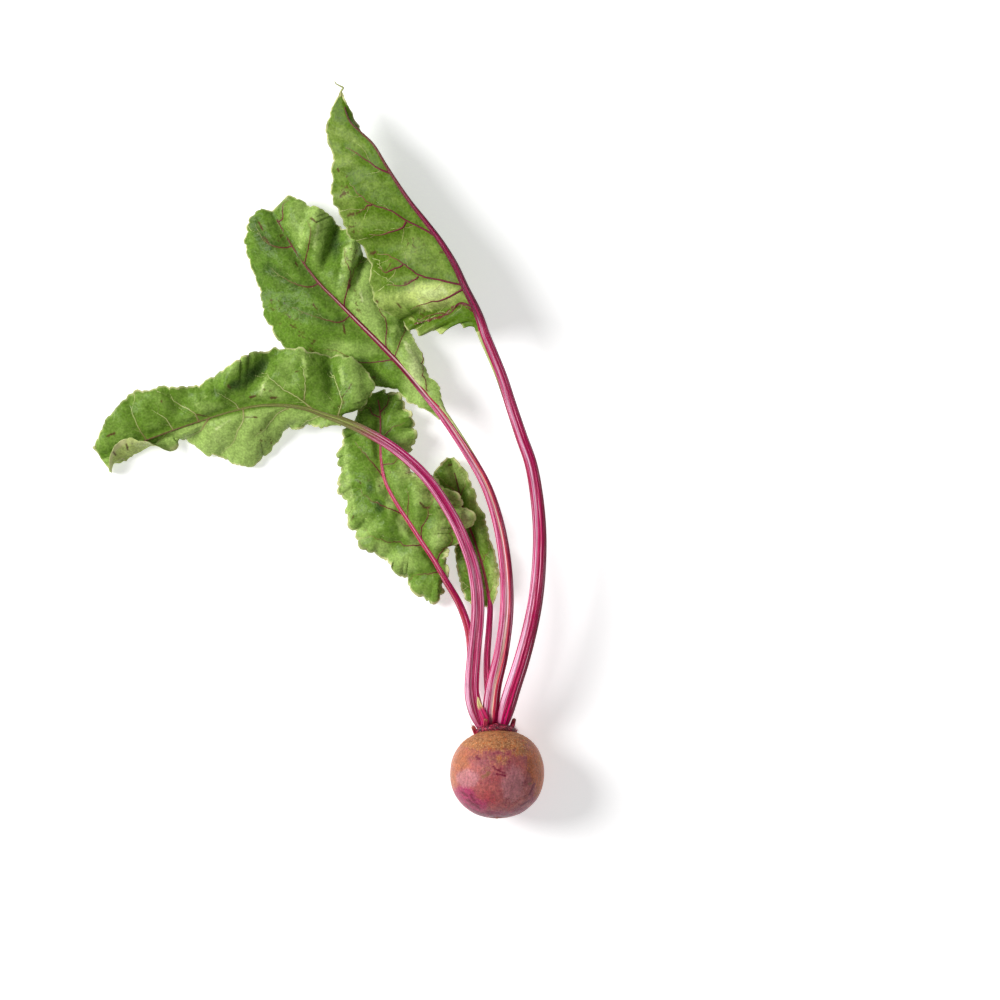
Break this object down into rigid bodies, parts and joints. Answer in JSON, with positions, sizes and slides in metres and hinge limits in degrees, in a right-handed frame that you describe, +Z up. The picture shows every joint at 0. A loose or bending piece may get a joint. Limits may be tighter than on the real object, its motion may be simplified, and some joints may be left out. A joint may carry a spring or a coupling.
{
  "type": "beetroot",
  "caption": "Young round beetroot lying flat, with ribbed crimson stems and ruffled green leaves spread to one side.",
  "frame": {"origin": "centre of the small flat under the round root, on the table the beetroot lies on", "axes": "+Y from the root along the stems to the leaf tips, +Z up from the table, +X to the right seen from above with the root nearest"},
  "size_m": [0.2349, 0.3761, 0.0494],
  "materials": {
    "root_skin": "corky orange-brown shoulders over a satin maroon-pink skin",
    "old_stub": "dry, pink to brown",
    "stem": "ribbed, satin, crimson with pale pink streaks",
    "leaf": "satin green with crimson to pale veins",
    "leaf_underside": "matte yellow-green with raised crimson veins"
  },
  "bodies": {
    "root": {"root": "root_skin", "stub_left": "old_stub", "stub_right": "old_stub", "stub_top": "old_stub", "stem_left": "stem", "stem_middle": "stem", "stem_right": "stem", "stem_low": "stem", "stem_inner": "stem", "blade_left": "leaf", "blade_middle": "leaf", "blade_right": "leaf_underside", "blade_low": "leaf", "blade_inner": "leaf"}
  },
  "joints": []
}
